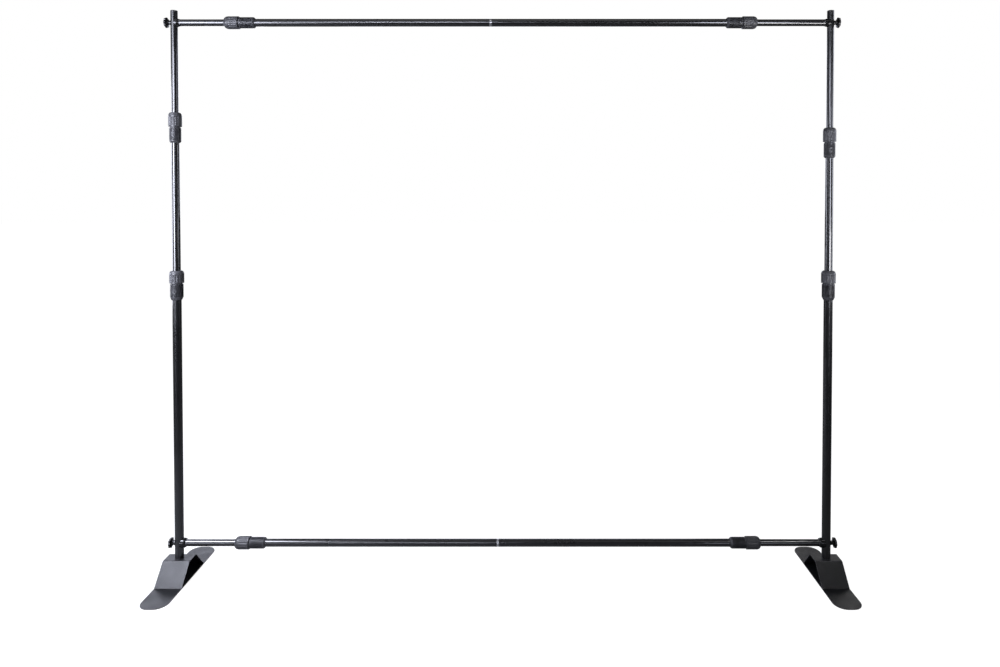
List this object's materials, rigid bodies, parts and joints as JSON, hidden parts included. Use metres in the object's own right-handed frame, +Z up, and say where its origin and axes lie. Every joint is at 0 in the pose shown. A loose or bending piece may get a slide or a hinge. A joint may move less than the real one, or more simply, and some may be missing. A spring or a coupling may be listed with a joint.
{
  "type": "backdrop stand",
  "caption": "Telescopic backdrop frame: two three-stage posts on bridged plate feet, joined by an upper and a lower sliding crossbar with twist locks and clamp knobs.",
  "frame": {"origin": "on the floor, midway between the two feet", "axes": "+X along the crossbars towards the right post, +Y from front to back, +Z up"},
  "size_m": [2.885, 0.48, 2.412],
  "materials": {
    "tube_paint": "semi-gloss black paint",
    "foot_paint": "fine-textured dark powder coat",
    "lock_plastic": "satin moulded plastic",
    "inner_plastic": "plain moulded plastic",
    "knob_plastic": "glossy black moulded plastic",
    "bright_steel": "bright zinc-plated steel"
  },
  "bodies": {
    "lower_bar": {"lower_bar_tube_left": "tube_paint", "lower_bar_tube_right": "tube_paint", "lower_bar_joint_stud": "bright_steel", "lower_bar_joint_socket": "bright_steel", "lower_bar_lock_sleeves": "lock_plastic", "lower_bar_lock_collets": "inner_plastic"},
    "upper_bar": {"upper_bar_tube_left": "tube_paint", "upper_bar_tube_right": "tube_paint", "upper_bar_joint_stud": "bright_steel", "upper_bar_joint_socket": "bright_steel", "upper_bar_lock_sleeves": "lock_plastic", "upper_bar_lock_collets": "inner_plastic"},
    "left_post": {"left_base_plug": "inner_plastic", "left_lower_tube": "tube_paint", "left_lower_lock_sleeve": "lock_plastic", "left_lower_lock_collet": "inner_plastic", "lower_bar_end_tube_left": "tube_paint", "lower_bar_end_clamp_left": "knob_plastic"},
    "left_foot": {"left_foot_plate": "foot_paint", "left_foot_bridge": "foot_paint", "left_foot_bolt": "bright_steel"},
    "left_lower_nut": {"left_lower_lock_nut": "lock_plastic"},
    "left_middle": {"left_middle_tube": "tube_paint", "left_upper_lock_sleeve": "lock_plastic", "left_upper_lock_collet": "inner_plastic"},
    "left_upper_nut": {"left_upper_lock_nut": "lock_plastic"},
    "left_top": {"left_top_tube": "tube_paint", "left_top_cap": "knob_plastic", "upper_bar_end_tube_left": "tube_paint", "upper_bar_end_clamp_left": "knob_plastic"},
    "lower_bar_left_nut": {"lower_bar_nut_left": "lock_plastic"},
    "lower_bar_left_pad": {"lower_bar_pad_left": "knob_plastic"},
    "lower_bar_left_knob": {"lower_bar_knob_left": "knob_plastic"},
    "upper_bar_left_nut": {"upper_bar_nut_left": "lock_plastic"},
    "upper_bar_left_pad": {"upper_bar_pad_left": "knob_plastic"},
    "upper_bar_left_knob": {"upper_bar_knob_left": "knob_plastic"},
    "right_post": {"right_base_plug": "inner_plastic", "right_lower_tube": "tube_paint", "right_lower_lock_sleeve": "lock_plastic", "right_lower_lock_collet": "inner_plastic", "lower_bar_end_tube_right": "tube_paint", "lower_bar_end_clamp_right": "knob_plastic"},
    "right_foot": {"right_foot_plate": "foot_paint", "right_foot_bridge": "foot_paint", "right_foot_bolt": "bright_steel"},
    "right_lower_nut": {"right_lower_lock_nut": "lock_plastic"},
    "right_middle": {"right_middle_tube": "tube_paint", "right_upper_lock_sleeve": "lock_plastic", "right_upper_lock_collet": "inner_plastic"},
    "right_upper_nut": {"right_upper_lock_nut": "lock_plastic"},
    "right_top": {"right_top_tube": "tube_paint", "right_top_cap": "knob_plastic", "upper_bar_end_tube_right": "tube_paint", "upper_bar_end_clamp_right": "knob_plastic"},
    "lower_bar_right_nut": {"lower_bar_nut_right": "lock_plastic"},
    "lower_bar_right_pad": {"lower_bar_pad_right": "knob_plastic"},
    "lower_bar_right_knob": {"lower_bar_knob_right": "knob_plastic"},
    "upper_bar_right_nut": {"upper_bar_nut_right": "lock_plastic"},
    "upper_bar_right_pad": {"upper_bar_pad_right": "knob_plastic"},
    "upper_bar_right_knob": {"upper_bar_knob_right": "knob_plastic"}
  },
  "joints": [
    {"name": "left_post_slide", "type": "slide", "parent": "lower_bar", "child": "left_post", "axis": [-1, 0, 0], "range_m": [-0.18, 0.14]},
    {"name": "right_post_slide", "type": "slide", "parent": "lower_bar", "child": "right_post", "axis": [1, 0, 0], "range_m": [-0.18, 0.14]},
    {"name": "left_middle_slide", "type": "slide", "parent": "left_post", "child": "left_middle", "axis": [0, 0, 1], "range_m": [-0.47, 0.02]},
    {"name": "right_middle_slide", "type": "slide", "parent": "right_post", "child": "right_middle", "axis": [0, 0, 1], "range_m": [-0.47, 0.02]},
    {"name": "left_top_slide", "type": "slide", "parent": "left_middle", "child": "left_top", "axis": [0, 0, 1], "range_m": [-0.345, 0.02]},
    {"name": "right_top_slide", "type": "slide", "parent": "right_middle", "child": "right_top", "axis": [0, 0, 1], "range_m": [-0.345, 0.02]},
    {"name": "upper_bar_slide", "type": "slide", "parent": "left_top", "child": "upper_bar", "axis": [1, 0, 0], "range_m": [-0.18, 0.14]},
    {"name": "left_foot_swivel", "type": "hinge", "parent": "left_post", "child": "left_foot", "pos_m": [-1.385, 0, 0.081], "axis": [0, 0, 1], "range_deg": [-90, 90]},
    {"name": "left_lower_nut_turn", "type": "hinge", "parent": "left_post", "child": "left_lower_nut", "pos_m": [-1.385, 0, 1.258], "axis": [0, 0, 1], "range_deg": [0, 120]},
    {"name": "left_upper_nut_turn", "type": "hinge", "parent": "left_middle", "child": "left_upper_nut", "pos_m": [-1.385, 0, 1.921], "axis": [0, 0, 1], "range_deg": [0, 120]},
    {"name": "right_foot_swivel", "type": "hinge", "parent": "right_post", "child": "right_foot", "pos_m": [1.385, 0, 0.081], "axis": [0, 0, 1], "range_deg": [-90, 90]},
    {"name": "right_lower_nut_turn", "type": "hinge", "parent": "right_post", "child": "right_lower_nut", "pos_m": [1.385, 0, 1.258], "axis": [0, 0, 1], "range_deg": [0, 120]},
    {"name": "right_upper_nut_turn", "type": "hinge", "parent": "right_middle", "child": "right_upper_nut", "pos_m": [1.385, 0, 1.857], "axis": [0, 0, 1], "range_deg": [0, 120]},
    {"name": "lower_bar_left_nut_turn", "type": "hinge", "parent": "lower_bar", "child": "lower_bar_left_nut", "pos_m": [-1.08, 0, 0.145], "axis": [-1, 0, 0], "range_deg": [0, 120]},
    {"name": "lower_bar_left_pad_slide", "type": "slide", "parent": "left_post", "child": "lower_bar_left_pad", "axis": [-1, 0, 0], "range_m": [0, 0.0025]},
    {"name": "lower_bar_left_knob_turn", "type": "hinge", "parent": "lower_bar_left_pad", "child": "lower_bar_left_knob", "pos_m": [-1.4066, 0, 0.145], "axis": [-1, 0, 0], "range_deg": [0, 720]},
    {"name": "lower_bar_right_nut_turn", "type": "hinge", "parent": "lower_bar", "child": "lower_bar_right_nut", "pos_m": [1.038, 0, 0.145], "axis": [1, 0, 0], "range_deg": [0, 120]},
    {"name": "lower_bar_right_pad_slide", "type": "slide", "parent": "right_post", "child": "lower_bar_right_pad", "axis": [1, 0, 0], "range_m": [0, 0.0025]},
    {"name": "lower_bar_right_knob_turn", "type": "hinge", "parent": "lower_bar_right_pad", "child": "lower_bar_right_knob", "pos_m": [1.4066, 0, 0.145], "axis": [1, 0, 0], "range_deg": [0, 720]},
    {"name": "upper_bar_left_nut_turn", "type": "hinge", "parent": "upper_bar", "child": "upper_bar_left_nut", "pos_m": [-1.108, 0, 2.361], "axis": [-1, 0, 0], "range_deg": [0, 120]},
    {"name": "upper_bar_left_pad_slide", "type": "slide", "parent": "left_top", "child": "upper_bar_left_pad", "axis": [-1, 0, 0], "range_m": [0, 0.0025]},
    {"name": "upper_bar_left_knob_turn", "type": "hinge", "parent": "upper_bar_left_pad", "child": "upper_bar_left_knob", "pos_m": [-1.4026, 0, 2.361], "axis": [-1, 0, 0], "range_deg": [0, 720]},
    {"name": "upper_bar_right_nut_turn", "type": "hinge", "parent": "upper_bar", "child": "upper_bar_right_nut", "pos_m": [1.01, 0, 2.361], "axis": [1, 0, 0], "range_deg": [0, 120]},
    {"name": "upper_bar_right_pad_slide", "type": "slide", "parent": "right_top", "child": "upper_bar_right_pad", "axis": [1, 0, 0], "range_m": [0, 0.0025]},
    {"name": "upper_bar_right_knob_turn", "type": "hinge", "parent": "upper_bar_right_pad", "child": "upper_bar_right_knob", "pos_m": [1.4026, 0, 2.361], "axis": [1, 0, 0], "range_deg": [0, 720]}
  ],
  "couplings": [
    {"joint": "right_post_slide", "follows": "left_post_slide", "ratio": 1},
    {"joint": "right_middle_slide", "follows": "left_middle_slide", "ratio": 1},
    {"joint": "right_top_slide", "follows": "left_top_slide", "ratio": 1},
    {"joint": "upper_bar_slide", "follows": "left_post_slide", "ratio": 1},
    {"joint": "lower_bar_left_knob_turn", "follows": "lower_bar_left_pad_slide", "rad_per_m": 5026.5},
    {"joint": "lower_bar_right_knob_turn", "follows": "lower_bar_right_pad_slide", "rad_per_m": 5026.5},
    {"joint": "upper_bar_left_knob_turn", "follows": "upper_bar_left_pad_slide", "rad_per_m": 5026.5},
    {"joint": "upper_bar_right_knob_turn", "follows": "upper_bar_right_pad_slide", "rad_per_m": 5026.5}
  ]
}
